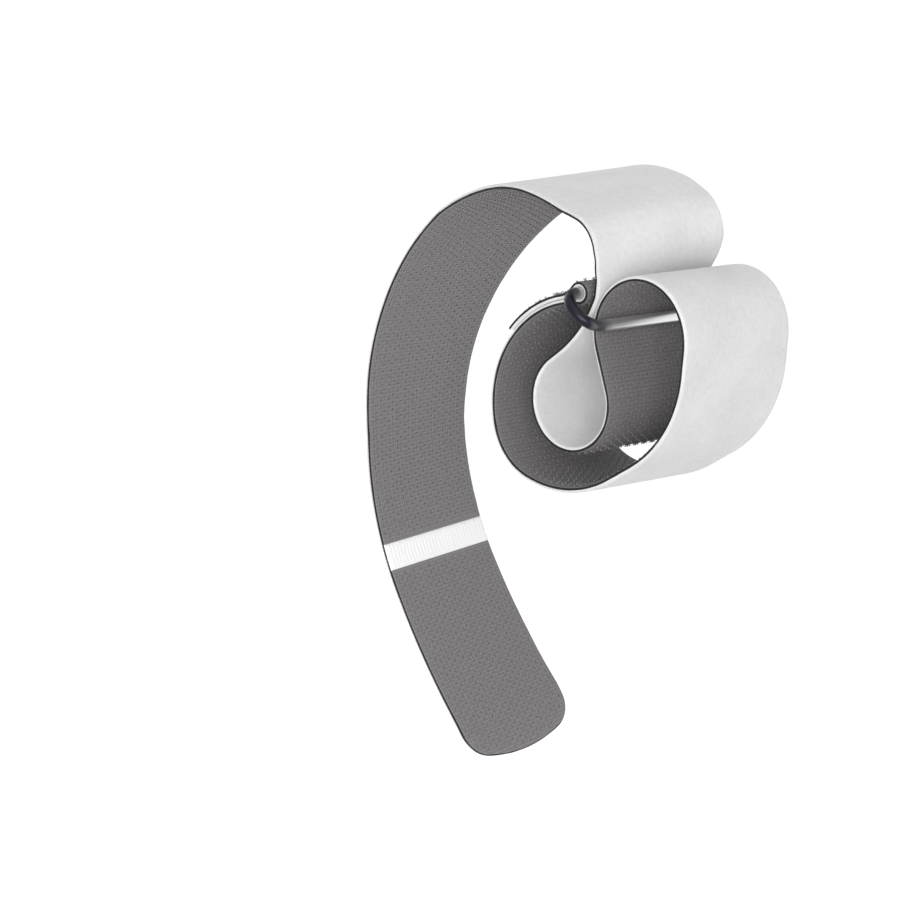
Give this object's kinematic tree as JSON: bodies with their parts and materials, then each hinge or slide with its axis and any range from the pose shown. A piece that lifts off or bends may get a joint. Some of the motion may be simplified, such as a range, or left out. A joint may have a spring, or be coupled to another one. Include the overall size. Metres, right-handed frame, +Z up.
{
  "type": "hook and loop cable tie",
  "caption": "Long two-faced hook and loop strap sewn to an oblong wire ring, looped through it round a cable, with a free rounded tail and a white marker band.",
  "frame": {"origin": "centre of the round cable loop, on the cable's axis, at the middle of the strap's width", "axes": "+Y along the cable and across the strap's width, +Z up, +X towards the arch over the ring; the free tail hangs on the -X side"},
  "size_m": [0.0777, 0.0448, 0.0983],
  "materials": {
    "loop_pile": "napped nylon loop pile",
    "hook_face": "woven nylon tape set with rows of small hooks",
    "band": "white welded nylon band",
    "wire": "bright nickel plate on steel wire",
    "thread": "twisted polyester sewing thread"
  },
  "bodies": {
    "strap": {"loop_tape": "loop_pile", "hook_tape": "hook_face", "marker_band": "band", "end_hook_patch": "hook_face", "ring_seam": "thread"},
    "ring": {"ring": "wire"}
  },
  "joints": [
    {"name": "ring_pivot", "type": "hinge", "parent": "strap", "child": "ring", "pos_m": [0.00169, 0, 0.01677], "axis": [0, -1, 0], "range_deg": [0, 30]}
  ]
}
